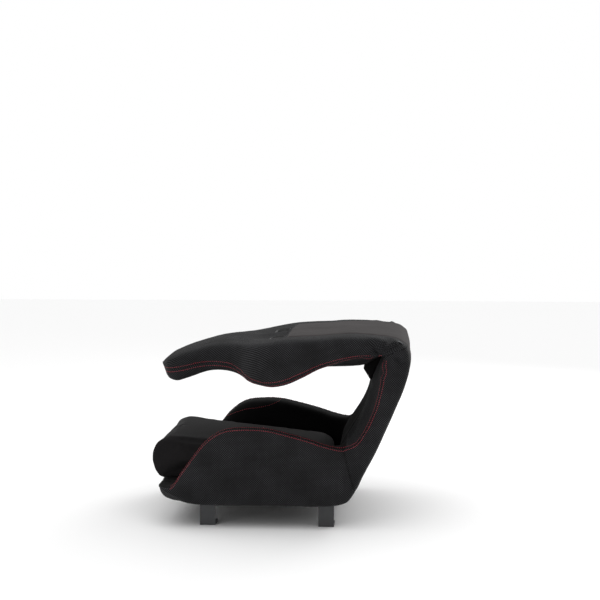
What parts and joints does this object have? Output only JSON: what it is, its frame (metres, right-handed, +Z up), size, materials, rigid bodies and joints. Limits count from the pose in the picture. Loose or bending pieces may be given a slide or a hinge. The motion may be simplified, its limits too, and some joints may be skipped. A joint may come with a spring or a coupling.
{
  "type": "racing seat",
  "caption": "Fold-flat bucket racing seat: padded shell with side bolsters and a loose cushion on bolt-down brackets, its winged backrest and headrest folded forward.",
  "frame": {"origin": "centre of the four foot bolt holes, in the plane of the bracket feet's underside", "axes": "X across the seat, +X to the sitter's left; the seat faces -Y and +Y points to its back; +Z up"},
  "size_m": [0.516, 0.591, 0.434],
  "materials": {
    "steel_tube": "black powder coat, semi-gloss",
    "bracket_steel": "grey satin powder coat on flat bar",
    "plate_steel": "black zinc",
    "fastener_steel": "bright zinc plating",
    "bush_bronze": "sintered bronze",
    "pad_foam": "open-cell polyurethane foam",
    "elastic_webbing": "woven elastic webbing",
    "mesh_fabric": "black knitted spacer mesh with light pores",
    "suede_fabric": "charcoal suede microfibre",
    "panel_fabric": "warm grey suede microfibre, stretched smooth",
    "base_fabric": "black non-woven lining",
    "red_thread": "red polyester top-stitching",
    "slot_trim": "black moulded polypropylene, fine grain"
  },
  "bodies": {
    "seat": {"lower_frame": "steel_tube", "seat_straps": "elastic_webbing", "lower_back_straps": "elastic_webbing", "base_foam": "pad_foam", "thigh_bolster_foam_left": "pad_foam", "thigh_bolster_foam_right": "pad_foam", "lumbar_bolster_foam_left": "pad_foam", "lumbar_bolster_foam_right": "pad_foam", "heel_foam_left": "pad_foam", "heel_foam_right": "pad_foam", "lower_back_foam": "pad_foam", "lower_rear_foam": "pad_foam", "side_cover_left": "mesh_fabric", "side_cover_right": "mesh_fabric", "lower_rear_cover": "panel_fabric", "lower_front_cover": "suede_fabric", "dust_cover": "base_fabric", "fold_sleeve": "panel_fabric", "fold_gusset_foam": "pad_foam", "front_bracket": "bracket_steel", "rear_bracket": "bracket_steel", "bracket_bolts": "fastener_steel", "bracket_washers": "fastener_steel", "hinge_plate_lower_left": "plate_steel", "hinge_plate_lower_right": "plate_steel", "hinge_bushes": "bush_bronze"},
    "cushion": {"seat_cushion_foam": "pad_foam", "seat_cushion_cover": "suede_fabric"},
    "backrest": {"upper_frame": "steel_tube", "hinge_plate_upper_left": "plate_steel", "hinge_plate_upper_right": "plate_steel", "pivot_bolts": "fastener_steel", "pivot_nuts": "fastener_steel", "stop_pins": "fastener_steel", "upper_straps": "elastic_webbing", "upper_back_foam": "pad_foam", "upper_rear_foam": "pad_foam", "shoulder_wing_foam_left": "pad_foam", "shoulder_wing_foam_right": "pad_foam", "neck_foam": "pad_foam", "headrest_foam": "pad_foam", "upper_rear_cover": "panel_fabric", "shoulder_cover": "mesh_fabric", "upper_side_cover_left": "mesh_fabric", "upper_side_cover_right": "mesh_fabric", "upper_front_cover": "suede_fabric", "harness_slot_trim_left": "slot_trim", "harness_slot_trim_right": "slot_trim"}
  },
  "joints": [
    {"name": "backrest_fold", "type": "hinge", "parent": "seat", "child": "backrest", "pos_m": [0, 0.287, 0.401], "axis": [-1, 0, 0], "range_deg": [0, 115], "deforming": ["fold_sleeve", "fold_gusset_foam"]},
    {"name": "cushion_pull", "type": "slide", "parent": "seat", "child": "cushion", "axis": [0, -1, 0], "range_m": [0, 0.15]}
  ]
}
